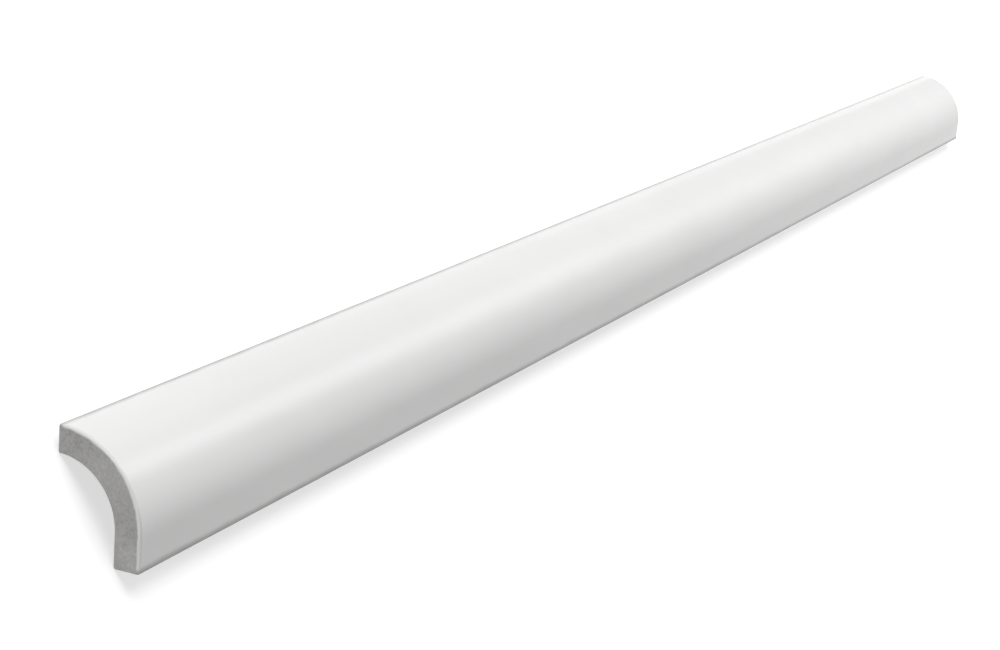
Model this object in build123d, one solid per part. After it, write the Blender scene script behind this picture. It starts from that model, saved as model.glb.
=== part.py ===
from build123d import *
from math import atan2, degrees
import os

# A pencil trim tile: one long fired ceramic strip with a hollow back. Its section is a
# quarter of a ring with a straight leg below it. All lengths are in millimetres.

# Driving dimensions
length = 500.0  # along the tile
height = 20.0  # of the section, from its foot to its top
depth = 14.5  # of the section, from its lip out to its face
wall = 4.5  # thickness, the same all round the section
longArris = 0.4  # rounding of the four edges that run along the tile
endArris = 0.3  # rounding all round each end

# The face is as large a quarter round as the depth allows, and the back follows it
faceRadius = depth
backRadius = faceRadius - wall
legHeight = height - faceRadius

# The section's corners as it stands on its foot, each as (out towards the face, up)
lipTop = (0, height)
lipBottom = (0, height - wall)
legTop = (depth, legHeight)
footOuter = (depth, 0)
footInner = (depth - wall, 0)
innerLegTop = (depth - wall, legHeight)

# Laid face up, the tile rests on the back edges of its lip and its foot
restAngle = degrees(atan2(height - wall, depth - wall))

# The section's plane: its first axis runs out to the face, towards -Y
sectionPlane = Plane(origin=(0, 0, 0), x_dir=(0, -1, 0), z_dir=(-1, 0, 0))


def section():
    """The section as it stands on its foot."""
    with BuildSketch(sectionPlane) as sketch:
        with BuildLine():
            RadiusArc(lipTop, legTop, faceRadius)
            Polyline(legTop, footOuter, footInner, innerLegTop)
            RadiusArc(innerLegTop, lipBottom, -backRadius)
            Line(lipBottom, lipTop)
        make_face()
    return sketch.sketch


def longEdges(tile, corners):
    """The edges along the tile that pass through these corners of the section."""
    along = tile.edges().filter_by(Axis.X)
    places = [sectionPlane.from_local_coords(corner) for corner in corners]
    return [along.sort_by_distance(place)[0] for place in places]


def standingTile():
    """The tile on its foot, with the small roundings that the die and the glaze leave."""
    tile = extrude(section(), length / 2, both=True)
    tile = fillet(longEdges(tile, [lipTop, lipBottom, footOuter, footInner]), longArris)
    ends = tile.faces().filter_by(Plane.YZ)
    return fillet([edge for end in ends for edge in end.edges()], endArris)


def laidFaceUp(tile):
    """The tile turned onto its two back edges, the middle of its base at the origin."""
    laid = tile.rotate(Axis.X, -restAngle)
    box = laid.bounding_box()
    return laid.translate((0, -box.center().Y, -box.min.Z))


os.makedirs("parts", exist_ok=True)
export_step(laidFaceUp(standingTile()), "parts/pencil_trim_tile.step")
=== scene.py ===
import bpy
from math import atan2, pi, radians
from mathutils import Matrix, Quaternion, Vector


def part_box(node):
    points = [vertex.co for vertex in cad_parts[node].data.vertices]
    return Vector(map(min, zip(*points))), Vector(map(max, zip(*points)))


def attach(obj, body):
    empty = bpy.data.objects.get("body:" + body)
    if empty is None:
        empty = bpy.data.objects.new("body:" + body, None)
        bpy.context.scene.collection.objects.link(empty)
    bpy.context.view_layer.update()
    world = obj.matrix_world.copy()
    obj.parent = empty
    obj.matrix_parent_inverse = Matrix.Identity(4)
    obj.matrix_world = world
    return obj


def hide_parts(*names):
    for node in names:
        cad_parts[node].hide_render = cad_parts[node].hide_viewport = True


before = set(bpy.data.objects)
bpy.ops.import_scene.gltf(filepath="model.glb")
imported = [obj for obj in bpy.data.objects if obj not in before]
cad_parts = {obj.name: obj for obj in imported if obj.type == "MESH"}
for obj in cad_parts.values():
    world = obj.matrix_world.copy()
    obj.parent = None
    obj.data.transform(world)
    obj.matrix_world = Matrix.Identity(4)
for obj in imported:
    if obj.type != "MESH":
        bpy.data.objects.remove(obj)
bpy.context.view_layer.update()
tileLow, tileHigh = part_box("pencil_trim_tile")
tileLength = tileHigh.x - tileLow.x
print("frame loaded")

mm = 0.001
origin = (0, 0, 0)
white = (1, 1, 1, 1)


def clearSelection():
    if bpy.context.mode != "OBJECT":
        bpy.ops.object.mode_set(mode="OBJECT")
    bpy.ops.object.select_all(action="DESELECT")


# The camera stands just off the near end, above it, and looks along the tile, rolled over
cameraSetup = {
    "place": (-0.50056, -0.00078, 0.20361),
    "aim": (-0.11772, -0.00224, 0.0045),
    "roll": 64.887,  # degrees about the line of sight
    "lens": 79.49,  # mm
    "sensor": 36,  # mm across
    "clip": (0.01, 50),  # m, the nearest and the farthest that it sees
}


def aimed(place, aim, roll=0):
    # the turn of a camera or a lamp that looks from one point at another
    level = (Vector(aim) - Vector(place)).to_track_quat("-Z", "Y")
    return (level @ Quaternion((0, 0, 1), radians(roll))).to_euler()


def setCamera():
    turn = aimed(cameraSetup["place"], cameraSetup["aim"], cameraSetup["roll"])
    bpy.ops.object.camera_add(location=cameraSetup["place"], rotation=turn)
    camera = bpy.context.object
    camera.data.lens = cameraSetup["lens"]
    camera.data.sensor_width = cameraSetup["sensor"]
    camera.data.clip_start, camera.data.clip_end = cameraSetup["clip"]
    bpy.context.scene.camera = camera


setCamera()
print("camera set")

# The tile's section as it stands on its foot: out runs towards the face, up from the foot
section = {
    "height": 20 * mm,
    "depth": 14.5 * mm,
    "wall": 4.5 * mm,
    "longArris": 0.4 * mm,  # rounding of the four edges that run along the tile
    "endArris": 0.3 * mm,  # rounding all round each end
    "arcSteps": 40,
    "longArrisSteps": 5,
    "endArrisSteps": 3,
    "lengthCuts": 119,
    "waveDepth": 0.06 * mm,  # how far the fired surface dips in places
    "waveSize": 22 * mm,
    "smoothAngle": 35,  # degrees; edges that turn more stay sharp
}
legHeight = section["height"] - section["depth"]
restAngle = atan2(section["height"] - section["wall"], section["depth"] - section["wall"])
samePlace = 0.02 * mm  # points closer than this count as one
endFacing = 0.9  # an end's faces have a normal with more than this along the tile


def near(a, b):
    return abs(a - b) < samePlace


def selectOnly(tile, kind, test):
    # in edit mode, only the edges or the faces that pass the test end up selected
    bpy.ops.object.mode_set(mode="EDIT")
    bpy.ops.mesh.select_mode(type=kind)
    bpy.ops.mesh.select_all(action="DESELECT")
    bpy.ops.object.mode_set(mode="OBJECT")
    parts = tile.data.edges if kind == "EDGE" else tile.data.polygons
    for part in parts:
        part.select = test(part)
    bpy.ops.object.mode_set(mode="EDIT")


def edgeEnds(tile, edge):
    return [tile.data.vertices[index].co for index in edge.vertices]


def sweepSection():
    # the lip is an upright strip, swept a quarter turn into the arch and down into the leg
    wall = section["wall"]
    bpy.ops.mesh.primitive_plane_add(size=1, location=origin)
    tile = bpy.context.object
    tile.name = tile.data.name = "trimTile"
    bpy.ops.object.mode_set(mode="EDIT")
    bpy.ops.transform.resize(value=(tileLength, wall, 1))
    bpy.ops.transform.rotate(value=pi / 2, orient_axis="X", center_override=origin)
    bpy.ops.transform.translate(value=(0, 0, section["height"] - wall / 2))
    bpy.ops.mesh.spin(
        steps=section["arcSteps"], angle=pi / 2, center=(0, 0, legHeight), axis=(-1, 0, 0)
    )
    bpy.ops.mesh.extrude_region_move(TRANSFORM_OT_translate={"value": (0, 0, -legHeight)})
    bpy.ops.mesh.select_all(action="SELECT")
    bpy.ops.mesh.normals_make_consistent(inside=False)
    return tile


def roundLongEdges(tile):
    # the edges along the tile at the four corners of its section, as out and up
    depth, height, wall = section["depth"], section["height"], section["wall"]
    corners = ((0, height), (0, height - wall), (depth, 0), (depth - wall, 0))

    def atCorner(edge):
        ends = edgeEnds(tile, edge)
        return any(all(near(co.y, -out) and near(co.z, up) for co in ends) for out, up in corners)

    selectOnly(tile, "EDGE", atCorner)
    bpy.ops.mesh.bevel(
        offset=section["longArris"], segments=section["longArrisSteps"], affect="EDGES"
    )


def roundEnds(tile):
    # the outline of each end
    selectOnly(tile, "FACE", lambda face: abs(face.normal.x) > endFacing)
    bpy.ops.mesh.region_to_loop()
    bpy.ops.mesh.bevel(offset=section["endArris"], segments=section["endArrisSteps"], affect="EDGES")


def cutAlongLength(tile):
    # every edge that runs the tile's length is cut into short ones, for the waves to move
    def runsAlong(edge):
        a, b = edgeEnds(tile, edge)
        return near(a.y, b.y) and near(a.z, b.z) and abs(a.x - b.x) > tileLength / 2

    selectOnly(tile, "EDGE", runsAlong)
    bpy.ops.mesh.subdivide(number_cuts=section["lengthCuts"])


def layFaceUp(tile):
    # turned onto its two back edges and set in the box that the frame gives it
    clearSelection()
    tile.select_set(True)
    bpy.context.view_layer.objects.active = tile
    tile.rotation_euler.x = -restAngle
    bpy.ops.object.transform_apply(location=False, rotation=True, scale=False)
    ys = [v.co.y for v in tile.data.vertices]
    zs = [v.co.z for v in tile.data.vertices]
    middle = (tileLow.y + tileHigh.y) / 2
    moved = Vector((0, middle - (min(ys) + max(ys)) / 2, tileLow.z - min(zs)))
    tile.location = moved
    bpy.ops.object.transform_apply(location=True, rotation=False, scale=False)
    return moved


def fireSurface(tile):
    # firing leaves the surface very slightly uneven, and never proud of its true shape
    waves = bpy.data.textures.new("firedWaves", "CLOUDS")
    waves.noise_scale = section["waveSize"]
    waves.noise_depth = 1
    dip = tile.modifiers.new("firedWaves", "DISPLACE")
    dip.texture = waves
    dip.texture_coords = "LOCAL"
    dip.mid_level = 1  # the waves' tops stay where they were
    dip.strength = section["waveDepth"]
    bpy.ops.object.modifier_apply(modifier=dip.name)
    bpy.ops.object.shade_smooth_by_angle(angle=radians(section["smoothAngle"]))
    shading = tile.modifiers.new("evenShading", "WEIGHTED_NORMAL")
    shading.keep_sharp = True
    bpy.ops.object.modifier_apply(modifier=shading.name)


clearSelection()
tile = sweepSection()
roundLongEdges(tile)
roundEnds(tile)
cutAlongLength(tile)
restMove = layFaceUp(tile)
fireSurface(tile)
print("tile modelled")


# Node helpers: what feeds an input is either a plain value or another node's output
def feed(tree, socket, value):
    if isinstance(value, bpy.types.NodeSocket):
        tree.links.new(value, socket)
    else:
        socket.default_value = value


def addNode(tree, kind, inputs=(), **settings):
    node = tree.nodes.new("ShaderNode" + kind)
    for name, value in settings.items():
        setattr(node, name, value)
    for name, value in dict(inputs).items():
        feed(tree, node.inputs[name], value)
    return node


def calc(tree, operation, *values, clamp=False):
    node = addNode(tree, "Math", operation=operation, use_clamp=clamp)
    for socket, value in zip(node.inputs, values):
        feed(tree, socket, value)
    return node.outputs[0]


def ramp(tree, value, span, levels=(0, 1)):
    # a smooth step from the first level to the second as the value crosses the span
    (begin, end), (first, second) = span, levels
    node = addNode(
        tree,
        "MapRange",
        {"Value": value, "From Min": begin, "From Max": end, "To Min": first, "To Max": second},
        interpolation_type="SMOOTHSTEP",
    )
    return node.outputs["Result"]


# the places of a Mix node's share, first and second value, and of its result
mixSockets = {"FLOAT": (0, 2, 3, 0), "RGBA": (0, 6, 7, 2)}


def blend(tree, kind, share, first, second):
    # the first value where the share is 0, the second where it is 1
    node = addNode(tree, "Mix", data_type=kind)
    sharePlace, firstPlace, secondPlace, result = mixSockets[kind]
    feed(tree, node.inputs[sharePlace], share)
    feed(tree, node.inputs[firstPlace], first)
    feed(tree, node.inputs[secondPlace], second)
    return node.outputs[result]


def newGroup(name, inputs, outputs):
    # inputs and outputs give the kind of each socket by its name
    tree = bpy.data.node_groups.new(name, "ShaderNodeTree")
    for side, sockets in (("INPUT", inputs), ("OUTPUT", outputs)):
        for label, kind in sockets.items():
            tree.interface.new_socket(label, in_out=side, socket_type="NodeSocket" + kind)
    return tree, tree.nodes.new("NodeGroupInput").outputs, tree.nodes.new("NodeGroupOutput").inputs


def useGroup(tree, group, given=None, names=()):
    # feeds the group the outputs of those names, and gives its own
    return addNode(tree, "Group", {name: given[name] for name in names}, node_tree=group).outputs


def newMaterial(name):
    material = bpy.data.materials.new(name)
    material.use_nodes = True
    return material, material.node_tree


def setShader(tree, inputs):
    for name, value in inputs.items():
        feed(tree, tree.nodes["Principled BSDF"].inputs[name], value)


def tilePlaceGroup():
    # where a point is on the tile, in millimetres in the section's own directions, how deep it
    # lies below the face, and how far from the nearer end and from the nearer long arris
    outputs = {"Place": "Vector", "Depth": "Float", "EndGap": "Float", "ArrisGap": "Float"}
    tree, _, out = newGroup("tilePlace", {}, outputs)
    upright = Matrix.Rotation(restAngle, 3, "X")
    turned = addNode(
        tree,
        "Mapping",
        {
            "Vector": addNode(tree, "TexCoord").outputs["Object"],
            "Location": -(upright @ restMove) / mm,
            "Rotation": (restAngle, 0, 0),
            "Scale": (1 / mm, 1 / mm, 1 / mm),
        },
    ).outputs[0]
    axes = addNode(tree, "SeparateXYZ", {"Vector": turned}).outputs
    outward = calc(tree, "MULTIPLY", axes["Y"], -1)
    aboveLeg = calc(tree, "MAXIMUM", calc(tree, "SUBTRACT", axes["Z"], legHeight / mm), 0)
    outSquared = calc(tree, "MULTIPLY", outward, outward)
    aboveSquared = calc(tree, "MULTIPLY", aboveLeg, aboveLeg)
    reach = calc(tree, "SQRT", calc(tree, "ADD", outSquared, aboveSquared))
    along = calc(tree, "ABSOLUTE", axes["X"])
    feed(tree, out["Place"], turned)
    feed(tree, out["Depth"], calc(tree, "SUBTRACT", section["depth"] / mm, reach))
    feed(tree, out["EndGap"], calc(tree, "SUBTRACT", tileLength / 2 / mm, along))
    feed(tree, out["ArrisGap"], calc(tree, "MINIMUM", outward, axes["Z"]))
    return tree


def drawnOut(tree, place, times):
    # the place squeezed along the tile, so that a pattern is that many times longer than wide
    return addNode(tree, "Mapping", {"Vector": place, "Scale": (1 / times, 1, 1)}).outputs[0]


noiseMiddle = 0.5  # of every noise, which runs from 0 to 1


def noise(tree, place, size, detail, rough):
    # a soft random pattern, its lumps about size millimetres wide
    inputs = {"Vector": place, "Scale": 1 / size, "Detail": detail, "Roughness": rough}
    return addNode(tree, "TexNoise", inputs).outputs[0]


def swing(tree, pattern):
    # a noise shifted so that it goes as far below zero as above it
    return calc(tree, "SUBTRACT", pattern, noiseMiddle)


def dots(tree, place, spacing, radius, share):
    # 1 inside small round spots, in that share of cells of this spacing, and 0 elsewhere
    node = addNode(tree, "TexVoronoi", {"Vector": place, "Scale": 1 / spacing})
    chance = addNode(tree, "SeparateColor", {"Color": node.outputs["Color"]}).outputs[0]
    here = calc(tree, "LESS_THAN", chance, share)
    smallest = radius / 2 / spacing  # the largest are twice as wide
    size = calc(tree, "MULTIPLY_ADD", chance, smallest / share, smallest)
    fromMiddle = calc(tree, "DIVIDE", node.outputs["Distance"], size)
    spot = calc(tree, "SUBTRACT", 1, fromMiddle, clamp=True)
    return calc(tree, "MULTIPLY", spot, here)


# The unglazed body: a pale grey fired clay with a dry, finely pitted surface; the inside of each pit
# is painted darker, as painted shade
firedBody = {
    "colour": (0.43, 0.426, 0.418, 1),
    "darkGrain": (0.27, 0.266, 0.26, 1),
    "paleGrain": (0.6, 0.596, 0.585, 1),
    # painted shade: the dark colour inside each pit stands in for the shade that falls into it
    "pitShadeColour": (0.16, 0.155, 0.15, 1),
    "roughness": 0.86,
    "grain": {"size": 0.45, "detail": 5, "rough": 0.62},  # mm, as all sizes and heights here
    "patches": {"size": 9, "detail": 3, "rough": 0.5},
    "dieLines": {"size": 0.7, "detail": 3, "rough": 0.6},  # faint, drawn along the tile by the die
    "dieLineTimes": 33,  # longer than wide
    "pits": {"spacing": 1.1, "radius": 0.17, "share": 0.45},  # share of the cells with a pit
    "pitShadeStrength": 0.75,
    "grainShare": 0.6,  # of the tone, of which the patches make the rest
    "patchShare": 0.4,
    "darkest": 0.32,  # the tone at which the grain is darkest
    "palest": 0.68,
    "grainStrength": 0.7,
    "grainHeight": 0.045,
    "dieLineHeight": 0.03,
    "pitDepth": 0.06,
}


def firedBodyGroup():
    outputs = {"Color": "Color", "Height": "Float"}
    tree, given, out = newGroup("firedBody", {"Place": "Vector"}, outputs)
    body, place = firedBody, given["Place"]
    grain = noise(tree, place, **body["grain"])
    patches = noise(tree, place, **body["patches"])
    dieLines = noise(tree, drawnOut(tree, place, body["dieLineTimes"]), **body["dieLines"])
    pits = dots(tree, place, **body["pits"])
    tone = calc(tree, "MULTIPLY", patches, body["patchShare"])
    tone = calc(tree, "MULTIPLY_ADD", grain, body["grainShare"], tone)
    darker = ramp(tree, tone, (noiseMiddle, body["darkest"]), (0, body["grainStrength"]))
    paler = ramp(tree, tone, (noiseMiddle, body["palest"]), (0, body["grainStrength"]))
    # how much painted shade each pit gets
    pitShadeShare = calc(tree, "MULTIPLY", pits, body["pitShadeStrength"])
    colour = blend(tree, "RGBA", darker, body["colour"], body["darkGrain"])
    colour = blend(tree, "RGBA", paler, colour, body["paleGrain"])
    colour = blend(tree, "RGBA", pitShadeShare, colour, body["pitShadeColour"])
    height = calc(tree, "MULTIPLY", grain, body["grainHeight"])
    height = calc(tree, "MULTIPLY_ADD", dieLines, body["dieLineHeight"], height)
    height = calc(tree, "MULTIPLY_ADD", pits, -body["pitDepth"], height)
    feed(tree, out["Color"], colour)
    feed(tree, out["Height"], height)
    return tree


# The glaze: opaque white glass that lies thin over every arris and in gentle ripples; over the
# arrises its colour is painted darker than the body itself, as a painted edge shade
glaze = {
    "colour": (0.835, 0.835, 0.83, 1),
    "pooled": (0.855, 0.855, 0.85, 1),
    "thinGlazeAndEdgeShade": (0.36, 0.355, 0.345, 1),  # the grey body shows through, and the colour, darker than the body, is also painted edge shade
    "speckColour": (0.55, 0.54, 0.52, 1),
    # inside each pinhole the grey body shows through, painted darker than the body as the shade in
    # the hole
    "pinholeBodyAndShade": (0.3, 0.29, 0.28, 1),
    "refractiveIndex": 1.52,  # that of glass
    "roughness": 0.09,
    "cloudRoughness": 0.06,  # how much duller the clouds make it
    "thinRoughness": 0.12,
    "ripples": {"size": 6.5, "detail": 1, "rough": 0.4},  # mm, as all sizes and distances here
    "rippleTimes": 2.2,  # longer than wide
    "peel": {"size": 1.6, "detail": 2, "rough": 0.45},
    "clouds": {"size": 14, "detail": 2, "rough": 0.5},
    "cloudTimes": 3.3,
    "cloudSpan": (0.35, 0.65),  # of the clouds' noise, from unpooled to pooled
    "specks": {"spacing": 3.1, "radius": 0.13, "share": 0.3},
    "speckStrength": 0.5,
    "pinholes": {"spacing": 7, "radius": 0.2, "share": 0.3},
    "pinholeStrength": 0.9,
    "rippleHeight": 0.12,
    "peelHeight": 0.004,
    "pinholeDepth": 0.05,
    "thinAndShadeByArris": (-0.1, 1.3),  # from the arrises along the tile, thinnest and most shaded to full
    "arrisThinAndShade": 0.95,  # how much of the thin glaze's colour and painted edge shade shows
    "thinAndShadeByEnd": (-0.1, 0.5),
    "endThinAndShade": 0.25,
    "waver": {"size": 2.2, "detail": 2, "rough": 0.5},  # of the edge of the thin, shade-painted stretch
    "waverTimes": 2.9,
    "waverWidth": 0.5,
}


def glazeSkinGroup():
    inputs = {"Place": "Vector", "ArrisGap": "Float", "EndGap": "Float"}
    outputs = {"Color": "Color", "Roughness": "Float", "Height": "Float"}
    tree, given, out = newGroup("glazeSkin", inputs, outputs)
    place = given["Place"]
    ripples = noise(tree, drawnOut(tree, place, glaze["rippleTimes"]), **glaze["ripples"])
    peel = noise(tree, place, **glaze["peel"])
    clouds = noise(tree, drawnOut(tree, place, glaze["cloudTimes"]), **glaze["clouds"])
    waver = noise(tree, drawnOut(tree, place, glaze["waverTimes"]), **glaze["waver"])
    waver = calc(tree, "MULTIPLY", waver, glaze["waverWidth"])
    fromArris = calc(tree, "SUBTRACT", given["ArrisGap"], waver)
    fromEnd = calc(tree, "SUBTRACT", given["EndGap"], waver)
    overArris = ramp(tree, fromArris, glaze["thinAndShadeByArris"], (glaze["arrisThinAndShade"], 0))
    overEnd = ramp(tree, fromEnd, glaze["thinAndShadeByEnd"], (glaze["endThinAndShade"], 0))
    thinGlazeAndEdgeShade = calc(tree, "MAXIMUM", overArris, overEnd)
    pinholes = dots(tree, place, **glaze["pinholes"])
    specks = dots(tree, place, **glaze["specks"])
    pooled = ramp(tree, clouds, glaze["cloudSpan"])
    onSpeck = calc(tree, "MULTIPLY", specks, glaze["speckStrength"])
    # the pinholes' colour: the body showing through, and painted shade
    pinholeBodyAndShadeShare = calc(tree, "MULTIPLY", pinholes, glaze["pinholeStrength"])
    colour = blend(tree, "RGBA", pooled, glaze["colour"], glaze["pooled"])
    # painted edge shade: the thin glaze's colour, darker than the bare body, along every arris and
    # round the ends
    colour = blend(tree, "RGBA", thinGlazeAndEdgeShade, colour, glaze["thinGlazeAndEdgeShade"])
    colour = blend(tree, "RGBA", onSpeck, colour, glaze["speckColour"])
    colour = blend(tree, "RGBA", pinholeBodyAndShadeShare, colour, glaze["pinholeBodyAndShade"])
    cloudy = swing(tree, clouds)
    dull = calc(tree, "MULTIPLY_ADD", cloudy, glaze["cloudRoughness"], glaze["roughness"])
    dull = calc(tree, "MULTIPLY_ADD", thinGlazeAndEdgeShade, glaze["thinRoughness"], dull)
    height = calc(tree, "MULTIPLY", ripples, glaze["rippleHeight"])
    height = calc(tree, "MULTIPLY_ADD", peel, glaze["peelHeight"], height)
    height = calc(tree, "MULTIPLY_ADD", pinholes, -glaze["pinholeDepth"], height)
    feed(tree, out["Color"], colour)
    feed(tree, out["Roughness"], dull)
    feed(tree, out["Height"], height)
    return tree


# The glaze runs round each arris and stops in an uneven line a little way past it
glazeLine = {
    "pastArris": 0.76,  # mm, as all here, from the face to where it stops
    "pastEnd": 0.51,  # the same round an end
    "cornerSpan": (0.25, 0.02),  # from the end, over which the one turns into the other
    "waver": {"size": 2.4, "detail": 3, "rough": 0.55},
    "waverWidth": 0.5,  # how far the line moves in and out in all
    "fineWaver": {"size": 0.6, "detail": 2, "rough": 0.5},
    "fineWidth": 0.16,
    "fadeSpan": (-0.03, 0.05),  # from bare to covered, about the line
    "slopeSpan": (-0.02, 0.22),  # from nothing to its full thickness
    "thickness": 0.07,
}


def glazeLineGroup():
    inputs = {"Place": "Vector", "Depth": "Float", "EndGap": "Float"}
    outputs = {"Glaze": "Float", "Thickness": "Float"}
    tree, given, out = newGroup("glazeLine", inputs, outputs)
    line, place = glazeLine, given["Place"]
    waver = swing(tree, noise(tree, place, **line["waver"]))
    fineWaver = swing(tree, noise(tree, place, **line["fineWaver"]))
    reach = ramp(tree, given["EndGap"], line["cornerSpan"], (line["pastArris"], line["pastEnd"]))
    reach = calc(tree, "MULTIPLY_ADD", waver, line["waverWidth"], reach)
    reach = calc(tree, "MULTIPLY_ADD", fineWaver, line["fineWidth"], reach)
    left = calc(tree, "SUBTRACT", reach, given["Depth"])
    feed(tree, out["Glaze"], ramp(tree, left, line["fadeSpan"]))
    feed(tree, out["Thickness"], ramp(tree, left, line["slopeSpan"], (0, line["thickness"])))
    return tree


def glazedCeramic():
    material, tree = newMaterial("glazedCeramic")
    where = useGroup(tree, tilePlaceGroup())
    body = useGroup(tree, firedBodyGroup(), where, ("Place",))
    skin = useGroup(tree, glazeSkinGroup(), where, ("Place", "ArrisGap", "EndGap"))
    line = useGroup(tree, glazeLineGroup(), where, ("Place", "Depth", "EndGap"))
    relief = blend(tree, "FLOAT", line["Glaze"], body["Height"], skin["Height"])
    height = calc(tree, "ADD", relief, line["Thickness"])
    bump = addNode(tree, "Bump", {"Height": height, "Distance": mm, "Strength": 1.0})
    setShader(
        tree,
        {
            "Base Color": blend(tree, "RGBA", line["Glaze"], body["Color"], skin["Color"]),
            "Roughness": blend(
                tree, "FLOAT", line["Glaze"], firedBody["roughness"], skin["Roughness"]
            ),
            "Normal": bump.outputs[0],
            "IOR": glaze["refractiveIndex"],
        },
    )
    return material


tile.data.materials.append(glazedCeramic())
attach(tile, "root")
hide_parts("pencil_trim_tile")
print("tile glazed")

# The studio: a white floor under a white sky, lit mainly from above on the lip's side
studio = {
    "floorSize": 12.0,
    "floorColour": (0.55, 0.55, 0.55, 1),
    "floorRoughness": 0.9,
    "floorGlow": 0.62,  # what the camera sees added to the lit floor
    "skyLight": 0.05,  # the sky's level as a light
    "mirrored": 0.85,  # how bright the glaze mirrors the white round it
}
# even light from the direction of each place, spread over that many degrees
suns = {
    "keySun": {"place": (0, 0.65, 0.76), "level": 2.6, "spread": 50},  # above, on the lip's side
    "nearSun": {"place": (-0.98, -0.06, 0.2), "level": 1.22, "spread": 24},  # low, faces the near end
    "farSun": {"place": (0.98, -0.06, 0.2), "level": 0.9, "spread": 24},  # low, faces the far end
}
# a soft-edged panel beyond the far end, which the glaze mirrors as a highlight along the tile
panel = {
    "place": (1.0, 0.15, 0.54),
    "roll": -16,
    "size": (0.65, 0.95),
    "power": 2.6,
    "footLevel": 0.04,  # of its level at the top, because the far end mirrors its foot strongly
}
# a small soft lamp on the foot's side, which lightens the leg towards the far end
fill = {
    "place": (0.36, -0.34, 0.25),
    "aim": (0.2, 0, 0),
    "size": 0.2,
    "power": 0.46,
}


def whiteLevel(tree):
    # 1 where the camera sees it straight or through something, less where it is mirrored, and 0
    # for the light that it gives
    rays = addNode(tree, "LightPath").outputs
    mirrored = calc(tree, "MULTIPLY", rays["Is Glossy Ray"], studio["mirrored"])
    seen = calc(tree, "MAXIMUM", rays["Is Camera Ray"], mirrored)
    return calc(tree, "MAXIMUM", seen, rays["Is Transmission Ray"])


def makeFloor():
    clearSelection()
    bpy.ops.mesh.primitive_plane_add(size=studio["floorSize"], location=origin)
    floor = bpy.context.object
    floor.name = "studioFloor"
    material, tree = newMaterial("studioWhite")
    setShader(
        tree,
        {
            "Base Color": studio["floorColour"],
            "Roughness": studio["floorRoughness"],
            "Specular IOR Level": 0,
            "Emission Color": white,
            "Emission Strength": calc(tree, "MULTIPLY", whiteLevel(tree), studio["floorGlow"]),
        },
    )
    floor.data.materials.append(material)


def makeSky():
    world = bpy.data.worlds.new("studioSky")
    bpy.context.scene.world = world
    world.use_nodes = True
    tree = world.node_tree
    sky = tree.nodes["Background"]
    skyLight = studio["skyLight"]
    feed(tree, sky.inputs["Color"], white)
    level = calc(tree, "MULTIPLY_ADD", whiteLevel(tree), 1 - skyLight, skyLight)
    feed(tree, sky.inputs["Strength"], level)


def addLamp(kind, name, place, level, aim=origin, roll=0):
    bpy.ops.object.light_add(type=kind, location=place, rotation=aimed(place, aim, roll))
    lamp = bpy.context.object
    lamp.name = name
    lamp.data.energy = level
    return lamp


def makeSuns():
    for name, sun in suns.items():
        lamp = addLamp("SUN", name, sun["place"], sun["level"])
        lamp.data.angle = radians(sun["spread"])
        lamp.visible_glossy = False  # the glaze would mirror it as a hard-edged disc


def makePanel():
    lamp = addLamp("AREA", "softPanel", panel["place"], panel["power"], roll=panel["roll"])
    lamp.data.shape = "RECTANGLE"
    lamp.data.size, lamp.data.size_y = panel["size"]
    lamp.data.use_nodes = True
    tree = lamp.data.node_tree
    halfWay = 0.5  # across the panel, whose places run from 0 to 1
    onPanel = addNode(tree, "NewGeometry").outputs["Parametric"]
    axes = addNode(tree, "SeparateXYZ", {"Vector": onPanel}).outputs
    fromMiddle = calc(tree, "ABSOLUTE", calc(tree, "SUBTRACT", axes["X"], halfWay))
    across = ramp(tree, fromMiddle, (halfWay, 0))
    upwards = ramp(tree, axes["Y"], (0, 1), (panel["footLevel"], 1))
    feed(tree, tree.nodes["Emission"].inputs["Strength"], calc(tree, "MULTIPLY", across, upwards))


def makeFill():
    lamp = addLamp("AREA", "softFill", fill["place"], fill["power"], aim=fill["aim"])
    lamp.data.shape = "DISK"
    lamp.data.size = fill["size"]
    lamp.visible_glossy = False  # it would show as a spot in the glaze


makeFloor()
makeSky()
makeSuns()
makePanel()
makeFill()
bpy.context.scene.view_settings.view_transform = "Standard"
print("studio lit")
